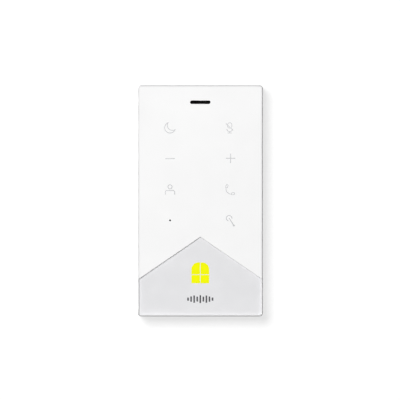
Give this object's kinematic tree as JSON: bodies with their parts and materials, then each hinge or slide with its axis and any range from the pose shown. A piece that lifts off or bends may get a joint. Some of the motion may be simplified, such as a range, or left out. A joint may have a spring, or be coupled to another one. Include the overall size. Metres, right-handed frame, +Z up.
{
  "type": "audio intercom station",
  "caption": "Slim wall-mounted audio intercom station with a white touch front, a grey gable-shaped lower panel, a lit yellow window, a hook-on steel bracket and a pull-off terminal plug.",
  "frame": {"origin": "centre of the two wall-screw slots, in the wall plane, which is also the middle of the front", "axes": "+Y into the wall (the front faces -Y), +Z up, +X to the right as seen from the front"},
  "size_m": [0.086, 0.02, 0.159],
  "materials": {
    "bracket_steel": "galvanised sheet",
    "screw_steel": "zinc plated",
    "white_housing": "satin white ABS",
    "white_panel": "satin white acrylic sheet",
    "symbol_grey": "light grey inlay",
    "grey_panel": "satin light grey sheet",
    "yellow_guide": "clear yellow, lit",
    "mark_grey": "dark grey inlay",
    "adhesive": "die-cut adhesive sheet",
    "clear_film": "clear polyester film",
    "black_mask": "matt black",
    "circuit_board": "green solder mask",
    "lamp_white": "LED package",
    "chip_black": "moulded epoxy",
    "black_rubber": "soft rubber",
    "can_steel": "tin plated sheet",
    "white_reflector": "white reflector",
    "speaker_black": "black nylon",
    "magnet_steel": "plated yoke",
    "cone_film": "film diaphragm",
    "copper": "enamelled copper wire",
    "black_foam": "closed-cell foam",
    "mesh_black": "black perforated sheet",
    "can_aluminium": "aluminium can",
    "connector_ivory": "ivory nylon",
    "ribbon_white": "flat flexible cable",
    "wire_red": "red wire",
    "wire_black": "black wire",
    "jack_black": "black thermoplastic",
    "gold_contact": "gold plated wire",
    "terminal_green": "green polyamide",
    "pin_tin": "tin plated",
    "button_black": "black button",
    "transformer_yellow": "ferrite core wound with yellow tape",
    "coil_dark": "moulded power coil",
    "rear_plastic": "textured white ABS",
    "brass_insert": "knurled brass"
  },
  "bodies": {
    "wall_bracket": {"wall_bracket": "bracket_steel"},
    "housing": {"front_housing": "white_housing", "touch_panel": "white_panel", "touch_symbols": "symbol_grey", "lower_panel": "grey_panel", "window_light_guide": "yellow_guide", "panel_mark": "mark_grey", "panel_adhesive": "adhesive", "lower_panel_adhesive": "adhesive", "touch_film": "clear_film", "light_mask": "black_mask", "touch_board": "circuit_board", "backlight_leds": "lamp_white", "touch_board_chips": "chip_black", "microphone_duct": "black_rubber", "microphone": "chip_black", "microphone_mesh": "mesh_black", "window_light_box": "white_reflector", "window_lamp_board": "circuit_board", "window_lamps": "lamp_white", "speaker_frame": "speaker_black", "speaker_magnet": "magnet_steel", "speaker_surround": "black_rubber", "speaker_gasket": "black_foam", "speaker_mesh": "mesh_black", "main_board": "circuit_board", "processor": "chip_black", "shield_can": "can_steel", "network_transformer": "chip_black", "main_capacitors": "can_aluminium", "main_board_chips": "chip_black", "ribbon_connectors": "connector_ivory", "speaker_connector": "connector_ivory", "touch_ribbon": "ribbon_white", "board_link_ribbon": "ribbon_white", "speaker_lead_red": "wire_red", "speaker_lead_black": "wire_black", "network_jack_shell": "can_steel", "network_jack_insert": "jack_black", "network_jack_contacts": "gold_contact", "terminal_header": "terminal_green", "terminal_pins": "pin_tin", "reset_switch_base": "jack_black", "power_board": "circuit_board", "power_transformer": "transformer_yellow", "power_coils": "coil_dark", "power_capacitors": "can_aluminium", "rear_cover": "rear_plastic", "lock_insert": "brass_insert", "case_screws": "screw_steel", "board_screws": "screw_steel"},
    "lock_screw": {"lock_screw": "screw_steel"},
    "terminal_plug": {"terminal_plug": "terminal_green", "terminal_plug_screws": "screw_steel", "terminal_clamps": "pin_tin"},
    "reset_button": {"reset_button": "button_black"},
    "speaker_cone": {"speaker_cone": "cone_film", "voice_coil": "copper"}
  },
  "joints": [
    {"name": "housing_lift", "type": "slide", "parent": "wall_bracket", "child": "housing", "axis": [0, 0, 1], "range_m": [0, 0.006]},
    {"name": "lock_screw_withdraw", "type": "slide", "parent": "wall_bracket", "child": "lock_screw", "axis": [0, 0, -1], "range_m": [0, 0.008]},
    {"name": "terminal_plug_pull", "type": "slide", "parent": "housing", "child": "terminal_plug", "axis": [0, 0, -1], "range_m": [0, 0.009]},
    {"name": "reset_button_press", "type": "slide", "parent": "housing", "child": "reset_button", "axis": [0, -1, 0], "range_m": [0, 0.0003], "stiffness_N_per_m": 3000},
    {"name": "speaker_cone_travel", "type": "slide", "parent": "housing", "child": "speaker_cone", "axis": [0, -1, 0], "range_m": [-0.0004, 0.0004], "stiffness_N_per_m": 1500, "deforming": ["speaker_surround"]}
  ]
}
